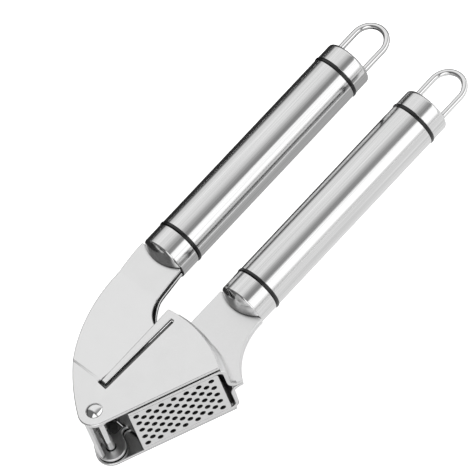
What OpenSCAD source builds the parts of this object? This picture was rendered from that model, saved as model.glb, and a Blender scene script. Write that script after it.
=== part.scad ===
// Garlic press with two tube handles.
// Closed, lying on the flat outer face of its far cheek, with the hinge line upright.
// Working frame: X runs along the handles, Y across them, Z along the hinge pin, and the
// hinge line at mid-width is zero. place() then moves the origin to the middle of the base.

/* [Handles] */
// Outside diameter of a handle tube
tube_d = 20; // [16:0.5:26]
// Wall of the tubes, collars and caps
tube_wall = 1; // [0.8:0.1:1.6]
// Length of a handle from its front rim to its rear face
handle_len = 107.9; // [85:0.5:140]
// Distance from the front rim to the middle of the front ring
front_ring_at = 9.7; // [7:0.1:14]
// Distance from the rear face to the middle of the rear ring
rear_ring_at = 8.7; // [6:0.1:14]
// Width of a ring along the handle
ring_w = 1.4; // [1:0.1:3]
// How far a ring stands proud of the tube
ring_proud = 0.3; // [0.1:0.05:0.8]
// Height of the domed front end of a handle
dome_h = 3.6; // [2:0.1:5]
// Rounding of the rear rim of a handle
rim_round = 1.6; // [0.8:0.1:2.5]

/* [Hanging loops] */
// Diameter of the loop wire
wire_d = 2.5; // [1.8:0.1:3.2]
// How far a loop reaches beyond the handle
loop_reach = 19; // [14:0.5:30]
// Gap from the wire to the inside of the tube wall
wire_edge = 0.55; // [0.3:0.05:1.5]
// Length of wire held inside the handle
wire_in = 12; // [8:0.5:20]

/* [Head] */
// Width over the two cheeks of the upper arm
head_w = 31; // [24:0.5:40]
// Thickness of the pressed steel sheet
sheet = 1.5; // [1.2:0.1:2]
// Radius of the fan-shaped cheeks about the hinge
guard_r = 50.5; // [42:0.5:62]
// Radius of the cheeks' rounded end about the hinge
nose_r = 6.7; // [6:0.1:9]
// Slope of the basket floor down from the handle direction
floor_tilt = 25.4; // [18:0.1:32]
// Height of the cheek's top edge above the hinge
strip_top = 7; // [6:0.1:9]
// Diameter of the hinge pin
pin_d = 3.6; // [3:0.1:5]
// How far the pin's domed head overhangs the pin
head_over = 1.6; // [1.2:0.1:2.4]
// Height of the pin's domed head
head_h = 1.6; // [1:0.1:2.5]

/* [Arms] */
// Height of the upper handle's axis above the hinge
upper_axis = 33.1; // [28:0.1:42]
// Depth of the lower handle's axis below the hinge
lower_drop = 6.6; // [4:0.1:12]
// Distance from the cheek's arc to the upper handle's front rim
upper_neck = 19.5; // [17:0.1:28]
// Distance from the cheek's arc to the lower handle's front rim
lower_neck = 21.8; // [20:0.1:30]
// Radius of the upper arm's long curved back
back_r = 93; // [80:1:120]
// How far the upper arm's back stands above its handle tube
back_over = 0.9; // [0:0.1:2]
// Radius of the throat between the upper arm and its cheek
throat_r = 16; // [12:0.5:18]
// Radius under the lower arm's neck
neck_r = 27; // [22:0.5:32]
// How far the lower arm's sheet stands below its handle tube
neck_under = 1.4; // [0:0.1:2]
// How far the lower arm's sheet stands above its handle tube
neck_over = 0.6; // [0:0.1:1.5]
// Gap between the upper arm's two sheets inside the handle
tang_gap = 1.4; // [1:0.1:3]
// Outer radius where the upper sheets bend inwards
bend_r = 8; // [5:0.5:12]
// Length of the tangs inside the handles
tang_len = 22; // [15:0.5:30]

/* [Slots and press block] */
// Width of the L-shaped slots in the cheeks
slot_w = 1.8; // [1.6:0.1:2.6]
// Width of the slot's upright leg
slot_leg_w = 1.3; // [1.1:0.1:1.8]
// Distance of the slot's upright leg from the hinge
slot_in = 10.5; // [10:0.1:13]
// Height of the slot above the hinge at its upright leg
slot_high = 3.8; // [3.6:0.1:5]
// Height of the slot above the hinge at its far end
slot_low = 2.3; // [1.5:0.1:3.5]
// Distance from the slot's far end to the cheek's arc
slot_end_gap = 3.2; // [2.6:0.1:6]
// Height of the slot's upright leg
slot_leg = 3.8; // [2:0.1:4.2]
// How deep the press block's tabs lie below the cheek's face
tab_sunk = 1.3; // [0.2:0.1:1.4]
// Thickness of the pressing plate
press_t = 1.5; // [1:0.1:2.5]
// Gap left between the pressing plate and the sieve when closed
cake_gap = 0.5; // [0.3:0.1:1.5]

/* [Basket] */
// How far the basket walls stand out beyond the cheeks' edge
wall_show = 0.5; // [0:0.1:1]
// How far the lower sheets' rounded end lies inside the cheeks' rounded end
tongue_inset = 0.8; // [0.3:0.1:1.5]
// Distance from the hinge to the start of the basket
basket_from = 10.9; // [9:0.1:13]
// Depth of the notch between the rounded end and the basket, from the hinge line up
notch_high = 5.2; // [3:0.1:5.6]
// Inside radius of the basket's upright corners
corner_r = 2; // [1.5:0.1:4]
// Radius where the basket ends turn into the lower arm
root_r = 2.5; // [1.5:0.1:4]
// How far the sieve is recessed from the basket walls' edge
sieve_recess = 0.1; // [0:0.05:1.5]
// Thickness of the sieve
sieve_t = 1.2; // [0.8:0.1:1.6]
// Gap from the sieve to the basket's end walls
sieve_end_gap = 1.9; // [0.5:0.1:3]
// Rounding of the sieve's outer corners
sieve_corner = 1; // [0.5:0.1:2]
// Diameter of the sieve holes
hole_d = 2.35; // [1.5:0.05:2.6]
// Distance between holes along a row
hole_pitch = 5.27; // [4:0.01:7]
// Distance between rows
row_pitch = 2.45; // [2:0.01:3.5]
// Least metal from the hole pattern to the sieve's edge
hole_edge = 0.8; // [0.6:0.1:2]
// Thickness of the web that wraps the hinge end of the basket
web_t = 1.5; // [1:0.1:2]
// How far that web lies inside the lower sheets' rounded end
web_inset = 0.2; // [0.1:0.1:1]

/* [Clearances] */
// Radial running clearance of the pin in the upper arm
run_gap = 0.05; // [0.02:0.01:0.1]
// Radial clearance of parts that are fixed in each other
fit_gap = 0.02; // [0.01:0.01:0.1]
// Side gap between the basket and the parts that move past it
side_gap = 0.35; // [0.3:0.05:0.6]
// Gap between a rivet head and the cheek it holds
head_gap = 0.1; // [0.05:0.05:0.2]

/* [Hidden] */
$fn = 96;

steel = "gainsboro";
bright = "whitesmoke";
black = "dimgray";
far = 300; // longer than any piece, for cutting shapes

// Handle positions
upper_rim = guard_r + upper_neck;
lower_rim = guard_r + lower_neck;
lower_axis = -lower_drop;
tube_r = tube_d / 2;
bore_r = tube_r - tube_wall;
tang_w = tube_d - 2 * tube_wall - 4;
front_ring_from = front_ring_at - ring_w / 2;
rear_ring_from = handle_len - rear_ring_at - ring_w / 2;
loop_r = round(100 * (bore_r - wire_edge - wire_d / 2)) / 100;
plug_len = tang_len + 6;
shoulder = 0.2; // the arms' full width stops this far before the rim

// Widths from the middle of the head outwards
cheek_out = head_w / 2;
cheek_in = cheek_out - sheet;
wall_out = cheek_in - side_gap;
wall_in = wall_out - sheet;
block_out = wall_in - side_gap;
tab_out = cheek_out - tab_sunk;

// Basket, seen along the hinge: radii about the hinge and depths below it
end_in = guard_r + 0.2;
end_out = end_in + sheet;
tongue_r = nose_r - tongue_inset;
wall_low = nose_r + wall_show;
root_x = end_out + root_r;
lower_top = lower_axis + tube_r + neck_over;
neck_c = [lower_rim - 1.9, lower_axis - tube_r - neck_under - neck_r];

// Sieve and pressing plate, in the floor's own frame
sieve_under = -wall_low + sieve_recess;
sieve_over = sieve_under + sieve_t;
sieve_to = sqrt(end_in * end_in - sieve_under * sieve_under) - sieve_end_gap;
press_under = sieve_over + cake_gap;
press_from = basket_from + 0.6;
block_r = guard_r - 2.2;
pattern_to = block_r - 0.6;
pattern_len = pattern_to - basket_from - 2 * hole_edge - hole_d;
hole_cols = floor(pattern_len / hole_pitch) + 1;
hole_rows = floor((2 * wall_in - 2 * hole_edge - hole_d - 0.5) / row_pitch) + 1;

// Upper arm, seen along the hinge
back_top = upper_axis + tube_r + back_over;
back_cy = back_top - back_r;
back_c = [sqrt(pow(back_r - nose_r, 2) - back_cy * back_cy), back_cy];
inner_edge = upper_axis - tube_r + 0.1;
throat_c = [guard_r + 8.6, inner_edge - 1.2 - throat_r];
slot_out = guard_r - slot_end_gap;
tab_play = 0.2;
block_t = slot_w - tab_play;
leg_t = slot_leg_w - tab_play;

// Upper sheets, seen across the handles: two bends join the cheek to the tang
tang_out = tang_gap / 2 + sheet;
bend_from = slot_in;
bend_to = guard_r + 5.5;
bend_low = cheek_out - bend_r;
bend_high = tang_out + bend_r - sheet;
bend_span = norm([bend_to - bend_from, bend_high - bend_low]);
bend_angle = asin((2 * bend_r - sheet) / bend_span)
  - atan2(bend_high - bend_low, bend_to - bend_from);
half_bend = tan(bend_angle / 2);

// Extent of the whole press, for the origin
x_min = -nose_r;
x_max = lower_rim + handle_len + loop_reach;
y_max = back_top;
neck_floor = floor_coords(neck_c);
corner = along(
  neck_floor[0] - sqrt(neck_r * neck_r - pow(neck_floor[1] + wall_low, 2)), -wall_low);
y_min = corner[1];

// A point given along and above the basket floor, in the working frame
function along(x, y) = [
  x * cos(floor_tilt) + y * sin(floor_tilt), -x * sin(floor_tilt) + y * cos(floor_tilt)
];

// The reverse of along
function floor_coords(p) = [
  p[0] * cos(floor_tilt) - p[1] * sin(floor_tilt), p[0] * sin(floor_tilt) + p[1] * cos(floor_tilt)
];

module place() {
  translate([-(x_min + x_max) / 2, -(y_min + y_max) / 2, cheek_out]) children();
}

module in_floor_frame() {
  rotate([0, 0, -floor_tilt]) children();
}

// Stands a profile drawn in X and Z upright, across the whole press
module across(depth = far) {
  rotate([90, 0, 0]) linear_extrude(height = depth, center = true) children();
}

// A ring sector between two angles, up to half a turn
module sector_2d(r_in, r_out, from, to) {
  reach = 2 * r_out;
  mid = (from + to) / 2;
  intersection() {
    difference() {
      circle(r = r_out);
      circle(r = r_in);
    }
    polygon([
      [0, 0],
      reach * [cos(from), sin(from)],
      reach * [cos(mid), sin(mid)],
      reach * [cos(to), sin(to)]
    ]);
  }
}

// ---------- upper arm ----------

module back_disc_2d() {
  translate(back_c) circle(r = back_r, $fn = 180);
}

// Flat cheek: fan, rounded end, and the root of the arm
module cheek_2d() {
  cheek_edge = nose_r - 0.02; // crosses the rounded end just before their tangent point
  root_dir = -back_c / norm(back_c);
  circle(r = nose_r);
  intersection() {
    circle(r = guard_r, $fn = 180);
    polygon([
      along(0, -cheek_edge), along(2 * guard_r, -cheek_edge),
      [2 * guard_r, strip_top], [0, strip_top]
    ]);
  }
  intersection() {
    back_disc_2d();
    polygon([
      [0, 0], 3 * nose_r * root_dir, [-3 * nose_r, 2 * back_top], [bend_from, 2 * back_top],
      [bend_from, 0]
    ]);
  }
}

// The arm from the cheek to the handle, cut free above the cheek's straight top edge
module arm_2d() {
  rim_corner = [upper_rim - shoulder, inner_edge];
  gap = norm(rim_corner - throat_c);
  turn = acos(throat_r / gap) + atan2(rim_corner[1] - throat_c[1], rim_corner[0] - throat_c[0]);
  tangent = throat_c + throat_r * [cos(turn), sin(turn)];
  difference() {
    intersection() {
      union() {
        back_disc_2d();
        translate([back_c[0], back_c[1]]) square([far, back_r]);
      }
      polygon([
        [bend_from - sheet, strip_top + 0.2], [tangent[0], strip_top + 0.2], tangent, rim_corner,
        [upper_rim - shoulder, 2 * back_top], [bend_from - sheet, 2 * back_top]
      ]);
    }
    translate(throat_c) circle(r = throat_r);
  }
  translate([upper_rim - sheet, upper_axis - tang_w / 2]) square([tang_len + sheet, tang_w]);
}

// L-shaped slot, or with play the tabs that fill it
module slot_2d(play = 0) {
  bend = [slot_in, slot_high];
  width = slot_w - play;
  leg_width = slot_leg_w - play;
  run = [slot_out - play / 2, slot_low] - bend;
  rise = [0.3, slot_leg - play / 2];
  run_side = width / 2 * [-run[1], run[0]] / norm(run);
  rise_side = leg_width / 2 * [rise[1], -rise[0]] / norm(rise);
  turn = atan2(rise[1], rise[0]) - atan2(run[1], run[0]);
  corner = (leg_width * run / norm(run) + width * rise / norm(rise)) / 2 / sin(turn);
  polygon([
    bend - corner, bend + run - run_side, bend + run + run_side,
    bend + corner, bend + rise + rise_side, bend + rise - rise_side
  ]);
}

// Points along an arc, in short steps
function arc_points(centre, radius, from, to, steps = 6) = [
  for (i = [0:steps])
    let (angle = from + (to - from) * i / steps)
    centre + radius * [cos(angle), sin(angle)]
];

// Section of one upper sheet from the cheek down to the tang
module upper_sheet_section_2d() {
  high = [bend_from, bend_low];
  low = [bend_to, bend_high];
  slope_at = 90 - bend_angle;
  polygon(concat(
    [[bend_from - far, cheek_out]],
    arc_points(high, bend_r, 90, slope_at),
    arc_points(low, bend_r - sheet, 180 + slope_at, 270),
    [[bend_to + far, tang_out], [bend_to + far, tang_out - sheet]],
    arc_points(low, bend_r, 270, 180 + slope_at),
    arc_points(high, bend_r - sheet, slope_at, 90),
    [[bend_from - far, cheek_in]]
  ));
}

module upper_plate_solid() {
  difference() {
    union() {
      translate([0, 0, cheek_in]) linear_extrude(height = sheet) difference() {
        cheek_2d();
        slot_2d();
      }
      intersection() {
        across() upper_sheet_section_2d();
        linear_extrude(height = head_w) difference() {
          arm_2d();
          slot_2d();
        }
      }
    }
    cylinder(d = pin_d + 2 * run_gap, h = head_w);
  }
}

module upper_near_plate() {
  color(steel) place() upper_plate_solid();
}

// The far plate is countersunk, so the rivet's closed end stays below the resting face
module upper_far_plate() {
  color(steel) place() difference() {
    mirror([0, 0, 1]) upper_plate_solid();
    rivet_tail(head_gap);
  }
}

// Curved web that closes the back of the arm between its two sheets
module upper_spine() {
  tip = [bend_from + (bend_r - sheet) * half_bend, cheek_in - head_gap];
  toe = [bend_to - bend_r * half_bend, tang_gap / 2 - head_gap];
  spine_to = upper_rim - dome_h - 1;
  half = [[-far, tip[1]], tip, toe, [far, toe[1]]];
  color(steel) place() intersection() {
    linear_extrude(height = head_w, center = true) intersection() {
      translate(back_c) difference() {
        circle(r = back_r - 0.8, $fn = 180);
        circle(r = back_r - 0.8 - sheet, $fn = 180);
      }
      translate([-far, slot_in + 0.5]) square([far + spine_to, back_top]);
    }
    across() polygon(concat(half, [for (i = [3:-1:0]) [half[i][0], -half[i][1]]]));
  }
}

// Outline of the press block, seen along the hinge
module block_outline_2d() {
  floor_line = press_under + press_t;
  intersection() {
    circle(r = block_r, $fn = 180);
    polygon([
      [slot_in - leg_t / 2, slot_high + slot_leg - tab_play],
      [slot_in + leg_t / 2, slot_high + slot_leg - tab_play],
      [slot_in + leg_t / 2, slot_high + block_t / 2],
      [block_r, slot_low + block_t / 2],
      along(block_r, floor_line),
      along(press_from, floor_line),
      [slot_in - leg_t / 2, along(press_from, floor_line)[1]]
    ]);
  }
}

// The same outline, one sheet smaller on every side but the floor
module block_hollow_2d() {
  floor_line = press_under + press_t;
  intersection() {
    circle(r = block_r - block_t, $fn = 180);
    polygon([
      [slot_in + leg_t / 2 + sheet / 2, slot_high - block_t / 2],
      [block_r, slot_low - block_t / 2],
      along(2 * block_r, floor_line - 1),
      along(press_from + block_t, floor_line - 1),
      [slot_in + leg_t / 2 + sheet / 2, along(press_from + block_t, floor_line)[1]]
    ]);
  }
}

// Folded block that drives the garlic through the sieve; its tabs sit in the cheeks' slots
module press_block() {
  color(steel) place() difference() {
    union() {
      linear_extrude(height = 2 * block_out, center = true) block_outline_2d();
      linear_extrude(height = 2 * tab_out, center = true) slot_2d(tab_play);
    }
    linear_extrude(height = 2 * (block_out - sheet), center = true) block_hollow_2d();
  }
}

module pressing_plate() {
  plate_to = sqrt(block_r * block_r - press_under * press_under);
  color(bright) place() in_floor_frame()
    translate([0, press_under + press_t - fit_gap, 0]) rotate([90, 0, 0])
      linear_extrude(height = press_t - fit_gap)
        round_end_2d(press_from, plate_to, 2 * block_out, corner_r);
}

// A plate outline with its two outer corners rounded
module round_end_2d(from, to, width, round) {
  translate([from, -width / 2]) square([to - from - round, width]);
  translate([from, -width / 2 + round]) square([to - from, width - 2 * round]);
  for (side = [-1, 1]) translate([to - round, side * (width / 2 - round)]) circle(r = round);
}

// ---------- lower arm ----------

// Half section turned about the hinge: basket wall, end wall, then the arm's flat sheet
module basket_section_2d() {
  corner_x = end_in - corner_r;
  corner_z = wall_in - corner_r;
  translate([0, wall_in]) square([corner_x, sheet]);
  translate([corner_x, corner_z]) sector_2d(corner_r, corner_r + sheet, 0, 90);
  translate([end_in, sheet + root_r]) square([sheet, corner_z - sheet - root_r]);
  translate([root_x, sheet + root_r]) sector_2d(root_r, root_r + sheet, 180, 270);
  translate([root_x, 0]) square([far, sheet]);
}

// Plan outline of one lower sheet, without its tang
module lower_outline_2d() {
  wall_top = -block_t / 2 - 0.4;
  step_x = end_in - corner_r;
  lower_end = lower_rim - shoulder;
  circle(r = tongue_r);
  difference() {
    polygon([
      [0, 0], along(tongue_r, 0), along(basket_from - 0.5, 0), along(basket_from - 0.5, -wall_low),
      along(2 * lower_rim, -wall_low), [2 * lower_rim, neck_c[1]],
      [lower_end, neck_c[1]], [lower_end, lower_top], [step_x, lower_top],
      [step_x, slot_low + wall_top], [slot_in, slot_high + wall_top], [0, slot_high + wall_top]
    ]);
    translate(neck_c) circle(r = neck_r, $fn = 180);
    translate([lower_end, -far]) square([far, far + neck_c[1] + neck_r]);
    rotate(-floor_tilt) notch_2d();
  }
}

// Round-topped notch between the rounded end and the basket, in the floor's own frame
module notch_2d() {
  notch_from = tongue_r - 0.05; // just inside the rounded end
  notch_r = (basket_from - notch_from) / 2;
  polygon(concat(
    [[notch_from, -2 * wall_low], [basket_from, -2 * wall_low]],
    arc_points([notch_from + notch_r, notch_high - notch_r], notch_r, 0, 180, 10)
  ));
}

module lower_plate_solid() {
  difference() {
    intersection() {
      rotate_extrude($fn = 180) basket_section_2d();
      linear_extrude(height = head_w) {
        lower_outline_2d();
        translate([lower_rim - sheet, lower_axis - tang_w / 2]) square([tang_len + sheet, tang_w]);
      }
    }
    cylinder(d = pin_d + 2 * fit_gap, h = head_w);
  }
}

module lower_near_plate() {
  color(steel) place() lower_plate_solid();
}

module lower_far_plate() {
  color(steel) place() mirror([0, 0, 1]) lower_plate_solid();
}

// Rows of holes, each shifted half a pitch from the next
module sieve_plate() {
  middle = (basket_from + pattern_to) / 2;
  color(bright) place() in_floor_frame() translate([0, sieve_over, 0]) rotate([90, 0, 0])
    linear_extrude(height = sieve_t) difference() {
      round_end_2d(basket_from, sieve_to, 2 * (wall_in - fit_gap), sieve_corner);
      for (row = [0:hole_rows - 1]) {
        holes = hole_cols - row % 2;
        for (i = [0:holes - 1])
          translate([
            middle + (i - (holes - 1) / 2) * hole_pitch, (row - (hole_rows - 1) / 2) * row_pitch
          ]) circle(d = hole_d, $fn = 32);
      }
    }
}

// Web that joins the two basket walls round the hinge end
module nose_web() {
  web_r = tongue_r - web_inset;
  color(steel) place() linear_extrude(height = 2 * (wall_in - fit_gap), center = true)
    sector_2d(web_r - web_t, web_r, 100, 190);
}

// Pin with a domed near head and a countersunk far end
module hinge_rivet() {
  pin_top = cheek_out + head_gap;
  head_r = pin_d / 2 + head_over;
  dome_r = (head_r * head_r + head_h * head_h) / (2 * head_h);
  color(bright) place() {
    translate([0, 0, -cheek_in]) cylinder(d = pin_d, h = cheek_in + pin_top);
    translate([0, 0, pin_top]) rotate_extrude() intersection() {
      translate([0, head_h - dome_r]) circle(r = dome_r);
      square([head_r, head_h]);
    }
    rivet_tail(0);
  }
}

// The far end's cone, or with a gap the countersink that holds it
module rivet_tail(gap) {
  spread = sheet - head_gap;
  sunk = gap > 0 ? 0 : head_gap;
  translate([0, 0, -cheek_out + sunk])
    cylinder(h = sheet - sunk, r1 = pin_d / 2 + spread + gap - sunk, r2 = pin_d / 2 + gap * 0.5);
}

// ---------- handles ----------

// Stands a handle piece on its arm: its own Z runs rearwards from the front rim
module on_upper() {
  place() translate([upper_rim, upper_axis, 0]) rotate([0, 90, 0]) children();
}

module on_lower() {
  place() translate([lower_rim, lower_axis, 0]) rotate([0, 90, 0]) children();
}

module sleeve(from, to, outer_r, inner_r) {
  translate([0, 0, from]) difference() {
    cylinder(r = outer_r, h = to - from);
    translate([0, 0, -1]) cylinder(r = inner_r, h = to - from + 2);
  }
}

// Collar with a domed end that closes round the arm's sheets
module front_collar(sheets_thick) {
  dome_r = (tube_r * tube_r + dome_h * dome_h) / (2 * dome_h);
  slot = sheets_thick + 2 * fit_gap;
  difference() {
    rotate_extrude() difference() {
      intersection() {
        translate([0, dome_r - dome_h]) circle(r = dome_r, $fn = 180);
        translate([0, -dome_h]) square([tube_r, dome_h + front_ring_from]);
      }
      translate([0, tube_wall]) square([bore_r, tube_d]);
    }
    translate([-slot / 2, -tube_d, -tube_d - shoulder]) cube([slot, 2 * tube_d, tube_d]);
    translate([-slot / 2, -tang_w / 2 - fit_gap, -1])
      cube([slot, tang_w + 2 * fit_gap, tube_d]);
  }
}

// Core that grips the tang inside the collar and the tube
module front_plug(gap) {
  difference() {
    translate([0, 0, tube_wall + fit_gap]) cylinder(r = bore_r - fit_gap, h = plug_len);
    for (side = [-1, 1]) {
      near = side > 0 ? gap / 2 - fit_gap : -gap / 2 - sheet - fit_gap;
      translate([near, -tang_w / 2 - fit_gap, 0])
        cube([sheet + 2 * fit_gap, tang_w + 2 * fit_gap, tang_len + fit_gap]);
    }
  }
}

module ring_at(from) {
  sleeve(from, from + ring_w, tube_r + ring_proud, bore_r);
}

module grip_tube() {
  sleeve(front_ring_from + ring_w, rear_ring_from, tube_r, bore_r);
}

// Rear core with two bores for the loop's legs
module rear_plug() {
  plug_to = handle_len - tube_wall - fit_gap;
  difference() {
    translate([0, 0, plug_to - wire_in - 6]) cylinder(r = bore_r - fit_gap, h = wire_in + 6);
    for (side = [-1, 1])
      translate([0, side * loop_r, handle_len - wire_in - fit_gap])
        cylinder(r = wire_d / 2 + fit_gap, h = wire_in + 1);
  }
}

// Cap with a rounded rim, bored for the loop's legs
module rear_cap() {
  flat_r = tube_r - rim_round;
  difference() {
    union() {
      translate([0, 0, rear_ring_from + ring_w])
        cylinder(r = tube_r, h = handle_len - rim_round - rear_ring_from - ring_w);
      translate([0, 0, handle_len - rim_round]) rotate_extrude() {
        square([flat_r, rim_round]);
        translate([flat_r, 0]) intersection() {
          circle(r = rim_round);
          square(rim_round);
        }
      }
    }
    translate([0, 0, rear_ring_from]) cylinder(r = bore_r, h = handle_len - tube_wall - rear_ring_from);
    for (side = [-1, 1])
      translate([0, side * loop_r, handle_len - 2 * tube_wall])
        cylinder(r = wire_d / 2 + fit_gap, h = 4 * tube_wall);
  }
}

// Wire bent to a long U, with its legs inside the handle
module hang_loop() {
  bend_z = handle_len + loop_reach - wire_d / 2 - loop_r;
  for (side = [-1, 1])
    translate([0, side * loop_r, handle_len - wire_in])
      cylinder(d = wire_d, h = bend_z - handle_len + wire_in);
  translate([0, 0, bend_z]) rotate([90, 0, 90]) rotate_extrude(angle = 180)
    translate([loop_r, 0]) circle(d = wire_d, $fn = 32);
}

module upper_front_collar() { color(bright) on_upper() front_collar(2 * tang_out); }
module upper_front_plug() { color(black) on_upper() front_plug(tang_gap); }
module upper_front_ring() { color(black) on_upper() ring_at(front_ring_from); }
module upper_grip_tube() { color(steel) on_upper() grip_tube(); }
module upper_rear_ring() { color(black) on_upper() ring_at(rear_ring_from); }
module upper_rear_plug() { color(black) on_upper() rear_plug(); }
module upper_rear_cap() { color(steel) on_upper() rear_cap(); }
module upper_hang_loop() { color(bright) on_upper() hang_loop(); }

module lower_front_collar() { color(bright) on_lower() front_collar(2 * sheet); }
module lower_front_plug() { color(black) on_lower() front_plug(0); }
module lower_front_ring() { color(black) on_lower() ring_at(front_ring_from); }
module lower_grip_tube() { color(steel) on_lower() grip_tube(); }
module lower_rear_ring() { color(black) on_lower() ring_at(rear_ring_from); }
module lower_rear_plug() { color(black) on_lower() rear_plug(); }
module lower_rear_cap() { color(steel) on_lower() rear_cap(); }
module lower_hang_loop() { color(bright) on_lower() hang_loop(); }

upper_near_plate();
upper_far_plate();
upper_spine();
press_block();
pressing_plate();
lower_near_plate();
lower_far_plate();
sieve_plate();
nose_web();
hinge_rivet();
upper_front_collar();
upper_front_plug();
upper_front_ring();
upper_grip_tube();
upper_rear_ring();
upper_rear_plug();
upper_rear_cap();
upper_hang_loop();
lower_front_collar();
lower_front_plug();
lower_front_ring();
lower_grip_tube();
lower_rear_ring();
lower_rear_plug();
lower_rear_cap();
lower_hang_loop();
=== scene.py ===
"""Looks of a garlic press with two tube handles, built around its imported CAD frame.

The press lies on its far cheek. X runs along the handles, Y across them, Z along the hinge pin,
all in metres. Sizes that end in _mm are in millimetres.
"""

import logging
import math
from dataclasses import dataclass, field
from enum import Enum
from typing import Callable, Iterable

import bmesh
import bpy
from mathutils import Matrix, Vector


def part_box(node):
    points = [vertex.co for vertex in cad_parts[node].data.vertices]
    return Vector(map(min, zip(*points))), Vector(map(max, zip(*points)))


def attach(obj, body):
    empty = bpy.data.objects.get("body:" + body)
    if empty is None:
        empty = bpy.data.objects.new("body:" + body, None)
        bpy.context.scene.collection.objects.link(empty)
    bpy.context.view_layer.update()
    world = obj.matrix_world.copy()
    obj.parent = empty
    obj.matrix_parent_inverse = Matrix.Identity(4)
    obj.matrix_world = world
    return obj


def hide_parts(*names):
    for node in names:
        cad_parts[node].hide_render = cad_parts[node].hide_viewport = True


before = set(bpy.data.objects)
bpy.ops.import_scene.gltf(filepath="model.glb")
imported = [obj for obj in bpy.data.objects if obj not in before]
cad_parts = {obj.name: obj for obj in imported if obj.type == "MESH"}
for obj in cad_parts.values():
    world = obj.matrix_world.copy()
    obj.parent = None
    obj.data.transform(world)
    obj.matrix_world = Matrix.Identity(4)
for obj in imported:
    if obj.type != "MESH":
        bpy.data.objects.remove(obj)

LOG = logging.getLogger("garlic_press")
MM = 0.001
FULL_TURN = math.tau
ALONG = Vector((1, 0, 0))
CREASE = math.radians(38)
FLAT = math.radians(0.2)
WELD_MM = 0.002
CAD_WELD_MM = 0.001
# How far large faces outweigh small ones in the smoothing, where 50 is even
FACE_SHARE = 50
WHITE = (1.0, 1.0, 1.0, 1.0)
BLACK = (0.0, 0.0, 0.0, 1.0)
# The outputs and inputs of a colour Mix node are told apart by number
MIX_SHARE, MIX_LOW, MIX_HIGH, MIX_COLOUR = 0, 6, 7, 2
# Where most of a noise texture's values lie
NOISE_LOW, NOISE_HIGH = 0.3, 0.7


class Arm(Enum):
    """The two halves of the press, as the CAD names their nodes."""

    UPPER = "upper"
    LOWER = "lower"

    @property
    def body(self) -> str:
        """The CAD body that this half moves with."""
        return f"{self.value}_arm"


class Slot(Enum):
    """The record's material slots."""

    CHEEK = "cheek_steel"
    BASKET = "basket_steel"
    PRESS = "press_steel"
    SIEVE = "sieve_steel"
    TUBE = "tube_steel"
    POLISHED = "polished_steel"
    RING = "ring_plastic"
    CORE = "core_plastic"


# Half the thickness of all the sheets together, where they enter each handle
SHEET_HALF_MM = {Arm.UPPER: 2.2, Arm.LOWER: 1.5}


# ---------- materials ----------


def linear(colour: str) -> tuple[float, float, float, float]:
    """Turns an sRGB colour into the linear values that a shader takes.

    Args:
        colour: Six hex digits, with or without a leading #.

    Returns:
        Red, green, blue and an alpha of one.
    """
    digits = colour.lstrip("#")
    shares = [int(digits[i : i + 2], 16) / 255 for i in (0, 2, 4)]
    lit = [c / 12.92 if c <= 0.04045 else ((c + 0.055) / 1.055) ** 2.4 for c in shares]
    return (*lit, 1.0)


def scaled(colour: tuple[float, ...], share: float) -> tuple[float, float, float, float]:
    """A linear colour made darker or lighter, and never over one."""
    return (*(min(1.0, c * share) for c in colour[:3]), 1.0)


def add_node(
    tree: bpy.types.NodeTree, kind: str, inputs: dict | None = None, **settings: object
) -> bpy.types.Node:
    """Adds one shader node with its settings, its values and its links.

    Args:
        tree: The node tree that gets it.
        kind: The node's type name.
        inputs: Each input's name or index, with a value or the output socket to link.
        **settings: Properties of the node itself.

    Returns:
        The new node.
    """
    made = tree.nodes.new(kind)
    for name, value in settings.items():
        setattr(made, name, value)
    for socket, value in (inputs or {}).items():
        if isinstance(value, bpy.types.NodeSocket):
            tree.links.new(value, made.inputs[socket])
        else:
            made.inputs[socket].default_value = value
    return made


def set_stops(ramp: bpy.types.ColorRamp, stops: Iterable[tuple[float, tuple]]) -> None:
    """Gives a colour ramp its stops.

    Args:
        ramp: The ramp, with Blender's two stops in it.
        stops: Each stop's place from 0 to 1 and its linear colour, in order.
    """
    while len(ramp.elements) > 1:
        ramp.elements.remove(ramp.elements[-1])
    for i, (place, colour) in enumerate(stops):
        element = ramp.elements[0] if i == 0 else ramp.elements.new(place)
        element.position = place
        element.color = colour


@dataclass(frozen=True)
class Finish:
    """A finish: what the piece is made of and how its surface was made."""

    name: str
    colour: str
    roughness: float

    def build(self) -> bpy.types.Material:
        """Makes the Blender material.

        Returns:
            The material, with its node tree wired up.
        """
        material = bpy.data.materials.new(self.name)
        material.use_nodes = True
        tree = material.node_tree
        tree.nodes.clear()
        shader = add_node(tree, "ShaderNodeBsdfPrincipled")
        self.wire(tree, shader)
        add_node(tree, "ShaderNodeOutputMaterial", {"Surface": shader.outputs["BSDF"]})
        material.diffuse_color = linear(self.colour)
        return material

    def wire(self, tree: bpy.types.NodeTree, shader: bpy.types.Node) -> None:
        """Sets the shader and wires its patterns.

        Args:
            tree: The material's node tree.
            shader: Its Principled shader.
        """
        raise NotImplementedError


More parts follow.
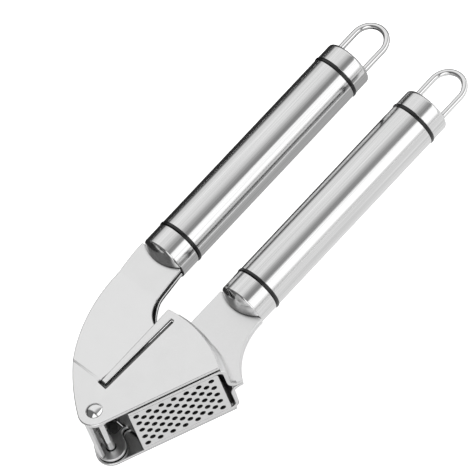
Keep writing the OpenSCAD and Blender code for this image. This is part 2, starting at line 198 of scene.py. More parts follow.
@dataclass(frozen=True)
class Steel(Finish):
    """Stainless steel with painted shade in slots and corners, where it reflects only itself."""

    # Painted shade: an ambient-occlusion mask darkens the base colour in slots and corners
    shade_reach_mm: float = 1.6
    painted_shade_dark: float = 0.04
    shade_rays: int = 8
    shade_range: tuple[float, float] = (0.35, 0.85)
    tone: float = 0.03
    relief_mm: float = 0.002
    roughness_spread: float = 0.05

    def wire(self, tree: bpy.types.NodeTree, shader: bpy.types.Node) -> None:
        """Wires the surface pattern into colour, roughness and bump."""
        shader.inputs["Metallic"].default_value = 1.0
        layers = self.pattern(tree)
        base = linear(self.colour)
        summed = layers[0]
        for layer in layers[1:]:
            summed = add_node(
                tree, "ShaderNodeMath", {0: summed, 1: layer}, operation="ADD"
            ).outputs[0]
        mean = add_node(
            tree, "ShaderNodeMath", {0: summed, 1: len(layers)}, operation="DIVIDE"
        ).outputs[0]
        noise = {"From Min": NOISE_LOW, "From Max": NOISE_HIGH}
        share = add_node(tree, "ShaderNodeMapRange", {"Value": mean, **noise})
        tones = {
            MIX_SHARE: share.outputs["Result"],
            MIX_LOW: scaled(base, 1 - self.tone),
            MIX_HIGH: scaled(base, 1 + self.tone),
        }
        toned = add_node(tree, "ShaderNodeMix", tones, data_type="RGBA").outputs[MIX_COLOUR]
        # Painted shade: the base colour goes dark where the occlusion mask finds surfaces close by
        reach = {"Distance": self.shade_reach_mm * MM}
        near = add_node(tree, "ShaderNodeAmbientOcclusion", reach, samples=self.shade_rays)
        shut, open_air = self.shade_range
        ends = {"Value": near.outputs["AO"], "From Min": shut, "From Max": open_air}
        clear = add_node(tree, "ShaderNodeMapRange", ends).outputs["Result"]
        shade_mix = {
            MIX_SHARE: self.left_unshaded(tree, clear),
            MIX_LOW: scaled(base, self.painted_shade_dark),
            MIX_HIGH: toned,
        }
        shown = add_node(tree, "ShaderNodeMix", shade_mix, data_type="RGBA").outputs[MIX_COLOUR]
        tree.links.new(shown, shader.inputs["Base Color"])
        half = self.roughness_spread / 2
        limits = {"To Min": self.roughness - half, "To Max": self.roughness + half}
        rough = add_node(tree, "ShaderNodeMapRange", {"Value": layers[-1], **noise, **limits})
        tree.links.new(rough.outputs["Result"], shader.inputs["Roughness"])
        bump = add_node(
            tree,
            "ShaderNodeBump",
            {"Height": summed, "Strength": 1.0, "Distance": self.relief_mm * MM},
        ).outputs["Normal"]
        tree.links.new(bump, shader.inputs["Normal"])

    def left_unshaded(
        self, tree: bpy.types.NodeTree, clear: bpy.types.NodeSocket
    ) -> bpy.types.NodeSocket:
        """Says where the steel is clear of painted shade; a plain sheet adds no painted shade line
        of its own.
        """
        return clear

    def pattern(self, tree: bpy.types.NodeTree) -> list[bpy.types.NodeSocket]:
        """Lays the surface's pattern.

        Args:
            tree: The material's node tree.

        Returns:
            Each layer's height, finest first, mostly from 0.3 to 0.7.
        """
        raise NotImplementedError


@dataclass(frozen=True)
class BrushedSteel(Steel):
    """Steel belt-brushed along X: straight streaks of three widths over each other."""

    streak_mm: float = 0.45
    length_mm: float = 45.0
    widenings: tuple[float, ...] = (1.0, 3.0, 9.0)

    def pattern(self, tree: bpy.types.NodeTree) -> list[bpy.types.NodeSocket]:
        """Stretches one noise along X, once for each width of streak."""
        place = add_node(tree, "ShaderNodeTexCoord").outputs["Object"]
        layers = []
        for widening in self.widenings:
            across = 1 / (self.streak_mm * widening * MM)
            along = 1 / (self.length_mm * widening * MM)
            laid = add_node(
                tree, "ShaderNodeMapping", {"Vector": place, "Scale": (along, across, across)}
            ).outputs["Vector"]
            layers.append(
                add_node(
                    tree,
                    "ShaderNodeTexNoise",
                    {"Vector": laid, "Scale": 1.0, "Detail": 2.0, "Roughness": 0.5},
                ).outputs["Fac"]
            )
        return layers


@dataclass(frozen=True)
class TumbledSteel(Steel):
    """Steel tumbled or buffed until no direction shows, with faint clouding."""

    cloud_mm: float = 7.0
    grain_mm: float = 0.4

    def pattern(self, tree: bpy.types.NodeTree) -> list[bpy.types.NodeSocket]:
        """Lays a fine grain and a wide clouding."""
        place = add_node(tree, "ShaderNodeTexCoord").outputs["Object"]
        return [
            add_node(
                tree,
                "ShaderNodeTexNoise",
                {"Vector": place, "Scale": 1 / (size * MM), "Detail": 2.0},
            ).outputs["Fac"]
            for size in (self.grain_mm, self.cloud_mm)
        ]


@dataclass(frozen=True)
class CreaseShadedSteel(TumbledSteel):
    """Tumbled steel with one fine line of painted shade along a crease, beside the slot."""

    from_pin_mm: tuple[float, float, float] = (24.0, 51.0, 7.0)
    half_width_mm: float = 0.22
    end_fade_mm: float = 1.0

    def left_unshaded(
        self, tree: bpy.types.NodeTree, clear: bpy.types.NodeSocket
    ) -> bpy.types.NodeSocket:
        """Paints shade on the crease line, which runs along X at a set height over the pin."""
        low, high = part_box("hinge_rivet")
        pin = (low + high) / 2
        start, end, up = (length * MM for length in self.from_pin_mm)
        place = add_node(tree, "ShaderNodeTexCoord").outputs["Object"]
        parts = add_node(tree, "ShaderNodeSeparateXYZ", {"Vector": place})
        middle, half = pin.x + (start + end) / 2, (end - start) / 2
        along = self.within(tree, parts.outputs["X"], middle, half, self.end_fade_mm * MM)
        width = self.half_width_mm * MM
        across = self.within(tree, parts.outputs["Y"], pin.y + up, width, width / 2)
        # Painted shade: a dark line along the crease stands in for its shadow, fading at both ends
        crease_shade = add_node(
            tree, "ShaderNodeMath", {0: along, 1: across}, operation="MULTIPLY"
        ).outputs[0]
        off_crease = add_node(tree, "ShaderNodeMath", {0: 1.0, 1: crease_shade}, operation="SUBTRACT")
        return add_node(
            tree, "ShaderNodeMath", {0: clear, 1: off_crease.outputs[0]}, operation="MULTIPLY"
        ).outputs[0]

    def within(
        self,
        tree: bpy.types.NodeTree,
        value: bpy.types.NodeSocket,
        middle: float,
        half: float,
        soft: float,
    ) -> bpy.types.NodeSocket:
        """Gives 1 near a middle value and 0 away from it.

        Args:
            tree: The node tree.
            value: The value that is tested.
            middle: The middle of the range.
            half: Half of the range.
            soft: How far the edge of the range fades, each way.

        Returns:
            The share's output.
        """
        shift = add_node(tree, "ShaderNodeMath", {0: value, 1: middle}, operation="SUBTRACT")
        away = add_node(tree, "ShaderNodeMath", {0: shift.outputs[0]}, operation="ABSOLUTE")
        ends = {
            "Value": away.outputs[0],
            "From Min": half + soft,
            "From Max": half - soft,
        }
        return add_node(tree, "ShaderNodeMapRange", ends).outputs["Result"]


@dataclass(frozen=True)
class MouldedPlastic(Finish):
    """Injection-moulded plastic, with the fine texture of its mould."""

    ior: float = 1.49
    texture_mm: float = 0.5
    texture_detail: float = 2.0
    speck_tone: float = 1.25
    speck_range: tuple[float, float] = (0.35, 0.75)
    relief_mm: float = 0.01

    def wire(self, tree: bpy.types.NodeTree, shader: bpy.types.Node) -> None:
        """Wires the mould's texture into colour and bump."""
        shader.inputs["IOR"].default_value = self.ior
        shader.inputs["Roughness"].default_value = self.roughness
        place = add_node(tree, "ShaderNodeTexCoord").outputs["Object"]
        speck = add_node(
            tree,
            "ShaderNodeTexNoise",
            {
                "Vector": place,
                "Scale": 1 / (self.texture_mm * MM),
                "Detail": self.texture_detail,
            },
        ).outputs["Fac"]
        base = linear(self.colour)
        ramp = add_node(tree, "ShaderNodeValToRGB", {"Fac": speck})
        starts, full = self.speck_range
        set_stops(ramp.color_ramp, [(starts, base), (full, scaled(base, self.speck_tone))])
        tree.links.new(ramp.outputs["Color"], shader.inputs["Base Color"])
        bump = add_node(
            tree,
            "ShaderNodeBump",
            {"Height": speck, "Strength": 1.0, "Distance": self.relief_mm * MM},
        ).outputs["Normal"]
        tree.links.new(bump, shader.inputs["Normal"])


class Workshop:
    """Makes each finish once and hands it out by its slot."""

    def __init__(self) -> None:
        """Starts with no material made."""
        self.made: dict[Slot, bpy.types.Material] = {}
        self.finishes: dict[Slot, Finish] = {
            # Rolled sheet, tumbled after blanking: an even, light, soft mirror
            Slot.CHEEK: CreaseShadedSteel("stainless_sheet_tumbled", "#E8E8E8", 0.22),
            Slot.BASKET: TumbledSteel("stainless_sheet_formed", "#E8E8E8", 0.32),
            # Folded block, blasted before folding, with no clear reflection; its darker tone and
            # its wider, stronger corner darkening are painted shade for where it shows inside the
            # slot
            Slot.PRESS: TumbledSteel(
                "stainless_sheet_blasted_painted_dark",
                "#A8A8A8",
                0.34,
                shade_reach_mm=3.0,
                shade_range=(0.55, 0.95),
            ),
            Slot.SIEVE: TumbledSteel("stainless_sheet_perforated", "#EAEAEA", 0.3),
            # Drawn tube, belt-brushed lengthways: long streaks over clear bands of light
            Slot.TUBE: BrushedSteel(
                "stainless_tube_brushed", "#E2E2E2", 0.13, tone=0.2, relief_mm=0.008
            ),
            Slot.POLISHED: TumbledSteel("stainless_steel_polished", "#EBEBEB", 0.07),
            Slot.RING: MouldedPlastic("black_abs_moulded", "#0D0D0E", 0.22),
            Slot.CORE: MouldedPlastic("grey_nylon_moulded", "#2A2A2B", 0.55),
        }

    def material(self, slot: Slot) -> bpy.types.Material:
        """The material of a slot, made on its first use.

        Args:
            slot: The record's slot.

        Returns:
            Its Blender material.
        """
        if slot not in self.made:
            self.made[slot] = self.finishes[slot].build()
        return self.made[slot]

    def dress(self, piece: bpy.types.Object, slot: Slot) -> None:
        """Gives a piece the material of a slot.

        Args:
            piece: The piece, new or carried over.
            slot: The slot that it takes its finish from.
        """
        piece.data.materials.clear()
        piece.data.materials.append(self.material(slot))


# ---------- mesh work ----------


def to_object(form: bmesh.types.BMesh, name: str) -> bpy.types.Object:
    """Turns a finished bmesh into a smooth-shaded object at the origin.

    Args:
        form: The bmesh, which is freed.
        name: The piece's name.

    Returns:
        The object, linked to the scene.
    """
    bmesh.ops.remove_doubles(form, verts=form.verts, dist=WELD_MM * MM)
    bmesh.ops.recalc_face_normals(form, faces=form.faces)
    shade(form)
    mesh = bpy.data.meshes.new(name)
    form.to_mesh(mesh)
    form.free()
    piece = bpy.data.objects.new(name, mesh)
    bpy.context.scene.collection.objects.link(piece)
    return piece


def shade(form: bmesh.types.BMesh) -> None:
    """Shades every face smooth and every sharp edge as a crease.

    Args:
        form: The bmesh to change.
    """
    for face in form.faces:
        face.smooth = True
    for edge in form.edges:
        edge.smooth = edge.is_manifold and edge.calc_face_angle(math.pi) < CREASE


def round_edges(
    form: bmesh.types.BMesh,
    width: float,
    segments: int = 2,
    wanted: Callable[[bmesh.types.BMEdge], bool] = lambda edge: True,
) -> None:
    """Rounds the sharp edges of a bmesh.

    Args:
        form: The bmesh to change.
        width: How far from the edge the rounding starts, in metres.
        segments: Faces across the rounding.
        wanted: Says of an edge whether it is rounded, if it is sharp.
    """
    sharp = [e for e in form.edges if e.is_manifold and e.calc_face_angle(0) > CREASE and wanted(e)]
    bmesh.ops.bevel(
        form,
        geom=sharp,
        offset=width,
        offset_type="OFFSET",
        segments=segments,
        profile=0.5,
        affect="EDGES",
        clamp_overlap=True,
        material=-1,
    )


def turned(
    profile: Iterable[tuple[float, float]], centre: Vector, closed: bool = True, steps: int = 128
) -> bmesh.types.BMesh:
    """Turns a profile about an axis along X, as on a lathe.

    Args:
        profile: Each point's place along X and its radius, in metres.
        centre: A point on the axis, of which only Y and Z count.
        closed: Whether the last point joins the first one.
        steps: Faces round the axis.

    Returns:
        The turned form.
    """
    form = bmesh.new()
    corners = [form.verts.new((x, centre.y, centre.z + r)) for x, r in profile]
    ends = zip(corners, corners[1:] + (corners[:1] if closed else []))
    edges = [form.edges.new(pair) for pair in ends]
    bmesh.ops.spin(
        form,
        geom=corners + edges,
        cent=centre,
        axis=ALONG,
        angle=FULL_TURN,
        steps=steps,
        use_merge=True,
        use_duplicate=False,
    )
    bmesh.ops.remove_doubles(form, verts=form.verts, dist=WELD_MM * MM)
    bmesh.ops.recalc_face_normals(form, faces=form.faces)
    return form


def worked_copy(node: str, name: str, body: str, edge_mm: float) -> bpy.types.Object:
    """Copies a CAD node, merges its triangles and rounds its edges.

    Args:
        node: The CAD node that the copy stands for.
        name: The new piece's name.
        body: The CAD body it rides on.
        edge_mm: Width of the rounding on its edges.

    Returns:
        The new piece, in place of the node.
    """
    form = bmesh.new()
    form.from_mesh(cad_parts[node].data)
    bmesh.ops.remove_doubles(form, verts=form.verts, dist=CAD_WELD_MM * MM)
    bmesh.ops.dissolve_limit(form, angle_limit=FLAT, verts=form.verts, edges=form.edges)
    shade(form)
    mesh = bpy.data.meshes.new(name)
    form.to_mesh(mesh)
    form.free()
    piece = bpy.data.objects.new(name, mesh)
    bpy.context.scene.collection.objects.link(piece)
    rounding = piece.modifiers.new("rounding", "BEVEL")
    rounding.limit_method = "ANGLE"
    rounding.angle_limit = CREASE
    rounding.width = edge_mm * MM
    rounding.segments = 3
    rounding.use_clamp_overlap = False
    rounding.miter_outer = "MITER_ARC"
    rounding.harden_normals = True
    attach(piece, body)
    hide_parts(node)
    return piece


def cut(piece: bpy.types.Object, cutter: bpy.types.Object) -> None:
    """Cuts one form out of another, for good, and deletes the cutter.

    Args:
        piece: The piece that is cut.
        cutter: The closed form that is taken out of it.
    """
    boolean = piece.modifiers.new("cut", "BOOLEAN")
    boolean.object = cutter
    boolean.operation = "DIFFERENCE"
    boolean.solver = "EXACT"
    bpy.context.view_layer.update()
    seen = bpy.context.evaluated_depsgraph_get()
    result = bpy.data.meshes.new_from_object(piece.evaluated_get(seen))
    piece.modifiers.clear()
    old = piece.data
    piece.data = result
    bpy.data.meshes.remove(old)
    bpy.data.objects.remove(cutter)


def favour_large_faces(piece: bpy.types.Object) -> None:
    """Shades a piece by its large faces, so that narrow roundings do not bend the light.

    Args:
        piece: A new piece.
    """
    weighted = piece.modifiers.new("large_faces", "WEIGHTED_NORMAL")
    weighted.mode = "FACE_AREA"
    weighted.weight = FACE_SHARE
    weighted.keep_sharp = True


# ---------- the press ----------


@dataclass
class UpperArm:
    """The two arched sheets that run from the hinge to the upper handle, and their spine."""

    workshop: Workshop
    edge_mm: float = 0.45
    web_edge_mm: float = 0.1
    pieces: list[bpy.types.Object] = field(default_factory=list)

    def build(self) -> None:
        """Makes the sheets and the spine from their CAD nodes."""
        body = Arm.UPPER.body
        for side in ("near", "far"):
            node = f"upper_{side}_plate"
            self.pieces.append(worked_copy(node, f"upper_{side}_sheet", body, self.edge_mm))
        self.pieces.append(worked_copy("upper_spine", "upper_spine_web", body, self.web_edge_mm))

    def dress(self) -> None:
        """Gives every sheet its tumbled finish."""
        for piece in self.pieces:
            self.workshop.dress(piece, Slot.CHEEK)


@dataclass
class PressBlock:
    """The folded block between the cheeks and the plate that it carries."""

    workshop: Workshop
    edge_mm: float = 0.2
    pieces: list[bpy.types.Object] = field(default_factory=list)

    def build(self) -> None:
        """Makes the block and its plate from their CAD nodes."""
        body = Arm.UPPER.body
        self.pieces.append(worked_copy("press_block", "press_folded_block", body, self.edge_mm))
        self.pieces.append(worked_copy("pressing_plate", "press_face", body, self.edge_mm))

    def dress(self) -> None:
        """Gives the block and the plate their finish."""
        for piece in self.pieces:
            self.workshop.dress(piece, Slot.PRESS)


@dataclass
class LowerArm:
    """The basket, its sieve and the neck that runs to the lower handle."""

    workshop: Workshop
    edge_mm: float = 0.4
    hole_edge_mm: float = 0.12
    web_edge_mm: float = 0.2
    sheets: list[bpy.types.Object] = field(default_factory=list)
    sieve: bpy.types.Object | None = None

    def build(self) -> None:
        """Makes the two formed sheets, the web between them and the sieve."""
        body = Arm.LOWER.body
        for side in ("near", "far"):
            node = f"lower_{side}_plate"
            self.sheets.append(worked_copy(node, f"lower_{side}_sheet", body, self.edge_mm))
        self.sheets.append(worked_copy("nose_web", "basket_end_web", body, self.web_edge_mm))
        self.sieve = worked_copy("sieve_plate", "sieve", body, self.hole_edge_mm)

    def dress(self) -> None:
        """Gives the sheets and the sieve their finishes."""
        for piece in self.sheets:
            self.workshop.dress(piece, Slot.BASKET)
        self.workshop.dress(self.sieve, Slot.SIEVE)


@dataclass
class HingeRivet:
    """The pin through all four sheets, with a domed head."""

    workshop: Workshop
    edge_mm: float = 0.15
    piece: bpy.types.Object | None = None

    def build(self) -> None:
        """Makes the rivet from its CAD node."""
        name, body = "hinge_rivet_polished", Arm.LOWER.body
        self.piece = worked_copy("hinge_rivet", name, body, self.edge_mm)

    def dress(self) -> None:
        """Polishes the rivet."""
        self.workshop.dress(self.piece, Slot.POLISHED)


@dataclass
class TubeHandle:
    """A handle: domed collar, ring, tube, ring, rear cap and wire loop."""

    workshop: Workshop
    arm: Arm
    wall_mm: float = 1.0
    dome_mm: float = 3.6
    edge_mm: float = 0.4
    tube_edge_mm: float = 0.12
    near_mm: float = 0.1
    dome_steps: int = 16
    rim_steps: int = 8
    slot_play_mm: float = 0.02
    slot_past_mm: float = 2.0
    slot_short_mm: float = 0.2
    wire_steps: int = 24
    bend_steps: int = 40
    rim_round_mm: float = 1.6
    pieces: dict[str, bpy.types.Object] = field(default_factory=dict)

    def box(self, node: str) -> tuple[Vector, Vector]:
        """The lowest and highest corners of one of this handle's nodes."""
        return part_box(f"{self.arm.value}_{node}")

    @property
    def centre(self) -> Vector:
        """The middle of the grip tube, which lies on the handle's axis."""
        low, high = self.box("grip_tube")
        return (low + high) / 2

    @property
    def radius(self) -> float:
        """The tube's outer radius."""
        low, high = self.box("grip_tube")
        return (high.z - low.z) / 2

    def keep(self, part: str, form: bmesh.types.BMesh, nodes: list[str]) -> bpy.types.Object:
        """Makes a form into a piece of this handle.

        Args:
            part: The piece's name within the handle.
            form: The finished form.
            nodes: The CAD nodes that it stands for.

        Returns:
            The piece.
        """
        piece = to_object(form, f"{self.arm.value}_{part}")
        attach(piece, self.arm.body)
        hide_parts(*[f"{self.arm.value}_{node}" for node in nodes])
        self.pieces[part] = piece
        return piece

    def build_tube(self) -> None:
        """Turns the long tube and the two rings beside it."""
        for node, part in (
            ("grip_tube", "brushed_tube"),
            ("front_ring", "front_trim_ring"),
            ("rear_ring", "rear_trim_ring"),
        ):
            low, high = self.box(node)
            outer = (high.z - low.z) / 2
            inner = self.radius - self.wall_mm * MM
            profile = [(low.x, inner), (low.x, outer), (high.x, outer), (high.x, inner)]
            form = turned(profile, self.centre)
            soft = (self.tube_edge_mm if node == "grip_tube" else self.edge_mm) * MM
            outside = inner + self.near_mm * MM
            round_edges(form, soft, 3, lambda e, r=outside: radius_of(e, self.centre) > r)
            self.keep(part, form, [node])

    def build_collar(self) -> None:
        """Turns the collar with its domed end, and parts it for the sheets."""
        low, high = self.box("front_collar")
        rim = low.x + self.dome_mm * MM
        r = self.radius
        ball = (r * r + (self.dome_mm * MM) ** 2) / (2 * self.dome_mm * MM)
        reach = math.asin(r / ball)
        dome = [
            (low.x + ball - ball * math.cos(turn), ball * math.sin(turn))
            for turn in (reach * i / self.dome_steps for i in range(self.dome_steps))
        ]
        wall = self.wall_mm * MM
        profile = dome + [(rim, r), (high.x, r), (high.x, r - wall), (rim + wall, r - wall)]
        profile.append((rim + wall, 0.0))
        form = turned(profile, self.centre, closed=False)
        outside = r - self.near_mm * MM
        round_edges(form, self.edge_mm * MM, 3, lambda e: radius_of(e, self.centre) > outside)
        piece = self.keep("domed_collar", form, ["front_collar"])
        cut(piece, self.sheet_slot(low.x, rim))

    def sheet_slot(self, tip: float, rim: float) -> bpy.types.Object:
        """Makes the cutter that parts the dome for the arm's sheets.

        Args:
            tip: Where the dome starts, along X.
            rim: Where the dome meets the tube, along X.

        Returns:
            The cutter.
        """
        low, high = self.box("front_collar")
        past = self.slot_past_mm * MM
        form = bmesh.new()
        bmesh.ops.create_cube(form, size=1.0)
        size = Vector((rim - tip + past, high.y - low.y + 2 * past, 2 * self.slot_half))
        bmesh.ops.scale(form, vec=size, verts=form.verts)
        end = rim - self.slot_short_mm * MM
        middle = Vector((end - size.x / 2, self.centre.y, self.centre.z))
        bmesh.ops.translate(form, vec=middle, verts=form.verts)
        return to_object(form, "slot_cutter")

    @property
    def slot_half(self) -> float:
        """Half the thickness of the sheets that enter this handle."""
        return (SHEET_HALF_MM[self.arm] + self.slot_play_mm) * MM

    def build_cap(self) -> None:
        """Turns the rear cap with its rounded rim."""
        low, high = self.box("rear_cap")
        r, inner = self.radius, self.radius - self.wall_mm * MM
        floor = high.x - self.wall_mm * MM
        profile = [(floor, 0.0), (floor, inner), (low.x, inner), (low.x, r), (high.x, r)]
        form = turned(profile + [(high.x, 0.0)], self.centre, closed=False)
        round_edges(form, self.rim_round_mm * MM, self.rim_steps, lambda e: self.at(e, high.x, r))
        round_edges(form, self.edge_mm * MM, 3, lambda e: self.at(e, low.x, r))
        self.keep("rear_end_cap", form, ["rear_cap"])

    def at(self, edge: bmesh.types.BMEdge, x: float, r: float) -> bool:
        """Whether an edge lies at a place along the axis and a radius."""
        middle = (edge.verts[0].co + edge.verts[1].co) / 2
        near = self.near_mm * MM
        return abs(middle.x - x) < near and abs(radius_of(edge, self.centre) - r) < near

    def build_loop(self) -> None:
        """Bends the hanging loop from round wire."""
        low, high = self.box("hang_loop")
        wire = (high.z - low.z) / 2
        bend = (high.y - low.y) / 2 - wire
        turn_x = high.x - wire - bend
        form = bmesh.new()
        bmesh.ops.create_circle(form, cap_ends=False, segments=self.wire_steps, radius=wire)
        bmesh.ops.rotate(form, verts=form.verts, matrix=Matrix.Rotation(math.pi / 2, 3, "Y"))
        start = Vector((turn_x, self.centre.y - bend, self.centre.z))
        bmesh.ops.translate(form, vec=start, verts=form.verts)
        hub = Vector((turn_x, self.centre.y, self.centre.z))
        first = list(form.edges)
        arc = bmesh.ops.spin(
            form,
            geom=first,
            cent=hub,
            axis=(0, 0, 1),
            angle=math.pi,
            steps=self.bend_steps,
            use_merge=False,
        )
        last = [g for g in arc["geom_last"] if isinstance(g, bmesh.types.BMEdge)]
        for ring in (first, last):
            leg = bmesh.ops.extrude_edge_only(form, edges=ring)
            moved = [g for g in leg["geom"] if isinstance(g, bmesh.types.BMVert)]
            bmesh.ops.translate(form, vec=(low.x - turn_x, 0, 0), verts=moved)
            rim = [g for g in leg["geom"] if isinstance(g, bmesh.types.BMEdge) and g.is_boundary]
            bmesh.ops.contextual_create(form, geom=rim)
        self.keep("wire_loop", form, ["hang_loop"])

    def build(self) -> None:
        """Makes every piece of the handle."""
        self.build_tube()
        self.build_collar()
        self.build_cap()
        self.build_loop()

    def dress(self) -> None:
        """Gives each piece its finish."""
        slots = {
            "brushed_tube": Slot.TUBE,
            "front_trim_ring": Slot.RING,
            "rear_trim_ring": Slot.RING,
            "domed_collar": Slot.TUBE,
            "rear_end_cap": Slot.TUBE,
            "wire_loop": Slot.POLISHED,
        }
        for part, slot in slots.items():
            self.workshop.dress(self.pieces[part], slot)
            favour_large_faces(self.pieces[part])
        for plug in ("front_plug", "rear_plug"):
            self.workshop.dress(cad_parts[f"{self.arm.value}_{plug}"], Slot.CORE)


def radius_of(edge: bmesh.types.BMEdge, centre: Vector) -> float:
    """How far an edge's middle lies from an axis along X."""
    middle = (edge.verts[0].co + edge.verts[1].co) / 2 - centre
    return math.hypot(middle.y, middle.z)


# ---------- studio ----------


@dataclass
class Studio:
    """Camera, glowing floor, strips of light, and cards that only reflections show.

    The strips are each a height in degrees, from level on the +Y side over the top to level on
    the -Y side, and a strength.
    """

    right: Vector = field(default_factory=lambda: Vector((0.664, -0.712, -0.229)).normalized())
    up: Vector = field(default_factory=lambda: Vector((0.705, 0.493, 0.510)).normalized())
    distance: float = 8.0
    view_width: float = 0.1792
    shift_right: float = 0.0537
    shift_up: float = 0.0669
    sensor: float = 36.0
    face_mm: float = 31.0
    see_far: float = 60.0
    floor_reach: float = 20.0
    floor_colour: str = "#F0F0F0"
    floor_glow: float = 0.85
    floor_roughness: float = 1.0
    card_roughness: float = 0.5
    card_reach: float = 3.0
    card_layer_mm: float = 0.05
    card_dome_mm: float = 4.0
    card_domes_from: float = -0.055
    card_beside_from: float = -0.3
    card_edge_inset_mm: tuple[float, float] = (-1.0, 10.0)
    card_edge_rise_mm: float = 1.0
    strip_strength: float = 1.35
    end_tone: float = 0.18
    end_range: tuple[float, float] = (-0.25, -0.06)
    window_x: tuple[float, float] = (-0.3, -0.45)
    window_y: tuple[float, float] = (-0.1, -0.25)
    lamp_watts: float = 4.0
    lamp_size: float = 3.0
    lamp_place: tuple[float, float, float] = (0.1, 0.2, 2.0)
    strips: tuple[tuple[float, float], ...] = (
        (0, 0.04),
        (10, 0.08),
        (20, 0.6),
        (45, 0.71),
        (60, 0.67),
        (74, 0.67),
        (84, 0.645),
        (94, 0.53),
        (103, 0.36),
        (112, 0.25),
        (120, 0.22),
        (126, 0.3),
        (131, 1.0),
        (165, 1.0),
        (170, 0.68),
        (176, 0.48),
        (180, 0.35),
    )

    def build_camera(self) -> None:
        """Sets the camera up over the press, looking along the hinge pin and to one side."""
        low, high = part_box("hinge_rivet")
        pin = (low + high) / 2
        face = Vector((pin.x, pin.y, self.face_mm * MM))
        back = self.right.cross(self.up).normalized()
        up = back.cross(self.right).normalized()
        target = face + self.right * self.shift_right + up * self.shift_up
        camera = bpy.data.cameras.new("camera")
        camera.sensor_width = self.sensor
        camera.lens = self.sensor * self.distance / self.view_width
        camera.clip_end = self.see_far
        eye = bpy.data.objects.new("camera", camera)
        turn = Matrix((self.right, up, back)).transposed().to_4x4()
        eye.matrix_world = Matrix.Translation(target + back * self.distance) @ turn
        bpy.context.scene.collection.objects.link(eye)
        bpy.context.scene.camera = eye

    def build_floor(self) -> None:
        """Lays a large pale light table under the press."""
        form = bmesh.new()
        bmesh.ops.create_grid(form, x_segments=1, y_segments=1, size=self.floor_reach)
        floor = to_object(form, "floor")
        base = linear(self.floor_colour)
        board = self.lit_board("light_table_opal", base, WHITE, self.floor_glow)
        rough = board.node_tree.nodes["Principled BSDF"].inputs["Roughness"]
        rough.default_value = self.floor_roughness
        floor.data.materials.append(board)

    def build_cards(self) -> None:
        """Lays cards on the table, dark to light, that only the reflections show."""
        tube_low, tube_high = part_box("upper_grip_tube")
        collar_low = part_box("lower_front_collar")[0]
        lower_low, lower_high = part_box("lower_grip_tube")
        beside = (tube_low.y + tube_high.y) / 2
        below = (lower_low.y + lower_high.y) / 2
        dome = collar_low.x + self.card_dome_mm * MM
        domes_from = self.card_domes_from
        far = self.card_reach
        cards = (
            ("card_all_round", "#DEDEDE", (-far, -far), (far, far)),
            ("card_under_handles", "#EDEDED", (dome, -far), (far, below)),
            ("card_between_handles", "#B0B0B0", (dome, below), (far, beside)),
            ("card_under_domes", "#303030", (domes_from, collar_low.y), (dome, beside)),
            ("card_beside_handle", "#303030", (self.card_beside_from, beside), (far, far)),
        )
        for layer, (name, colour, low, high) in enumerate(cards, start=1):
            self.lay_card(name, colour, low, high, layer * self.card_layer_mm * MM)
        inset_low, inset_high = (inset * MM for inset in self.card_edge_inset_mm)
        low = (tube_low.x, lower_high.y + inset_low)
        high = (tube_high.x, tube_low.y - inset_high)
        level = (tube_low.z + tube_high.z) / 2 + self.card_edge_rise_mm * MM
        self.lay_card("card_edge_between", "#202020", low, high, level)

    def lay_card(
        self, name: str, colour: str, low: tuple[float, float], high: tuple[float, float], z: float
    ) -> None:
        """Lays one level card.

        Args:
            name: The card's name.
            colour: Its tone, as sRGB hex.
            low: Its corner at the low end of X and Y.
            high: Its corner at the high end.
            z: Its height over the floor, in metres.
        """
        form = bmesh.new()
        bmesh.ops.create_grid(form, x_segments=1, y_segments=1, size=0.5)
        size = (high[0] - low[0], high[1] - low[1], 1.0)
        bmesh.ops.scale(form, vec=size, verts=form.verts)
        centre = ((low[0] + high[0]) / 2, (low[1] + high[1]) / 2, z)
        bmesh.ops.translate(form, vec=centre, verts=form.verts)
        card = to_object(form, name)
        card.data.materials.append(self.lit_board(name, BLACK, linear(colour), 1.0))
        for ray in ("camera", "diffuse", "shadow", "transmission", "volume_scatter"):
            setattr(card, f"visible_{ray}", False)

    def lit_board(
        self, name: str, base: tuple[float, ...], glow: tuple[float, ...], strength: float
    ) -> bpy.types.Material:
        """Makes a board that shines in no way but glows evenly.

        Args:
            name: The material's name.
            base: The linear colour that it reflects.
            glow: The linear colour that it gives off.
            strength: How strongly it glows.

        Returns:
            The material.
        """
        material = bpy.data.materials.new(name)
        material.use_nodes = True
        shader = material.node_tree.nodes["Principled BSDF"]
        shader.inputs["Base Color"].default_value = base
        shader.inputs["Roughness"].default_value = self.card_roughness
        shader.inputs["Specular IOR Level"].default_value = 0.0
        shader.inputs["Emission Color"].default_value = glow
        shader.inputs["Emission Strength"].default_value = strength
        return material

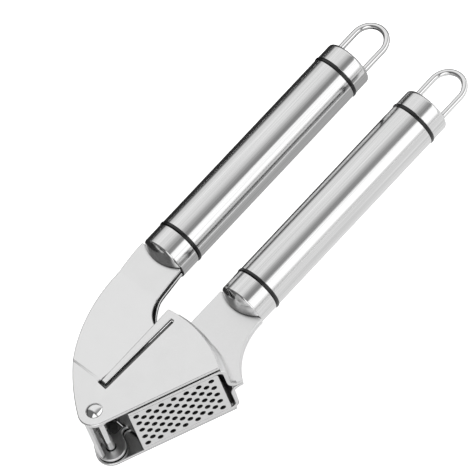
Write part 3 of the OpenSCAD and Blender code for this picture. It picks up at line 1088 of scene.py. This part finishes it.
    def build_world(self) -> None:
        """Surrounds the press with long strips of light that run along the handles."""
        world = bpy.data.worlds.new("studio")
        bpy.context.scene.world = world
        world.use_nodes = True
        tree = world.node_tree
        tree.nodes.clear()
        way = add_node(tree, "ShaderNodeTexCoord").outputs["Generated"]
        parts = add_node(tree, "ShaderNodeSeparateXYZ", {"Vector": way})
        turn = add_node(
            tree,
            "ShaderNodeMath",
            {0: parts.outputs["Z"], 1: parts.outputs["Y"]},
            operation="ARCTAN2",
        ).outputs[0]
        place = add_node(
            tree, "ShaderNodeMapRange", {"Value": turn, "From Min": 0.0, "From Max": math.pi}
        ).outputs["Result"]
        ramp = add_node(tree, "ShaderNodeValToRGB", {"Fac": place})
        stops = [(degrees / 180, (tone, tone, tone, 1)) for degrees, tone in self.strips]
        set_stops(ramp.color_ramp, stops)
        dim, full = self.end_range
        forward = {"Value": parts.outputs["X"], "From Min": dim, "From Max": full}
        share = add_node(tree, "ShaderNodeMapRange", forward).outputs["Result"]
        ends = add_node(tree, "ShaderNodeValToRGB", {"Fac": share})
        tone = self.end_tone
        set_stops(ends.color_ramp, [(0.0, (tone, tone, tone, 1)), (1.0, WHITE)])
        lit = add_node(
            tree,
            "ShaderNodeMix",
            {MIX_SHARE: 1.0, MIX_LOW: ramp.outputs["Color"], MIX_HIGH: ends.outputs["Color"]},
            data_type="RGBA",
            blend_type="MULTIPLY",
        ).outputs[MIX_COLOUR]
        starts, full = self.window_x
        behind = {"Value": parts.outputs["X"], "From Min": starts, "From Max": full}
        starts, full = self.window_y
        aside = {"Value": parts.outputs["Y"], "From Min": starts, "From Max": full}
        window = add_node(
            tree,
            "ShaderNodeMath",
            {
                0: add_node(tree, "ShaderNodeMapRange", behind).outputs["Result"],
                1: add_node(tree, "ShaderNodeMapRange", aside).outputs["Result"],
            },
            operation="MULTIPLY",
        ).outputs[0]
        panes = {MIX_SHARE: window, MIX_LOW: lit, MIX_HIGH: WHITE}
        opened = add_node(tree, "ShaderNodeMix", panes, data_type="RGBA").outputs[MIX_COLOUR]
        studio = add_node(
            tree, "ShaderNodeBackground", {"Color": opened, "Strength": self.strip_strength}
        ).outputs[0]
        plain = add_node(
            tree, "ShaderNodeBackground", {"Color": WHITE, "Strength": 1.0}
        ).outputs[0]
        seen = add_node(tree, "ShaderNodeLightPath").outputs["Is Camera Ray"]
        mixed = add_node(tree, "ShaderNodeMixShader", {0: seen, 1: studio, 2: plain}).outputs[0]
        add_node(tree, "ShaderNodeOutputWorld", {"Surface": mixed})

    def build_lights(self) -> None:
        """Hangs a large soft light over the press, for the floor."""
        lamp = bpy.data.lights.new("overhead", "AREA")
        lamp.shape = "SQUARE"
        lamp.size = self.lamp_size
        lamp.energy = self.lamp_watts
        hung = bpy.data.objects.new("overhead", lamp)
        hung.location = self.lamp_place
        hung.visible_camera = False
        hung.visible_glossy = False
        bpy.context.scene.collection.objects.link(hung)

    def build(self) -> None:
        """Makes the whole studio."""
        self.build_camera()
        self.build_floor()
        self.build_cards()
        self.build_world()
        self.build_lights()
        bpy.context.scene.view_settings.view_transform = "Standard"


def main() -> None:
    """Builds the press and its studio."""
    logging.basicConfig(level=logging.INFO, format="%(name)s: %(message)s")
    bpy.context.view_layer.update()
    workshop = Workshop()
    Studio().build()
    parts = [
        UpperArm(workshop),
        PressBlock(workshop),
        LowerArm(workshop),
        HingeRivet(workshop),
        TubeHandle(workshop, Arm.UPPER),
        TubeHandle(workshop, Arm.LOWER),
    ]
    for part in parts:
        part.build()
        part.dress()
        LOG.info("%s is built", type(part).__name__)


if __name__ == "__main__":
    main()
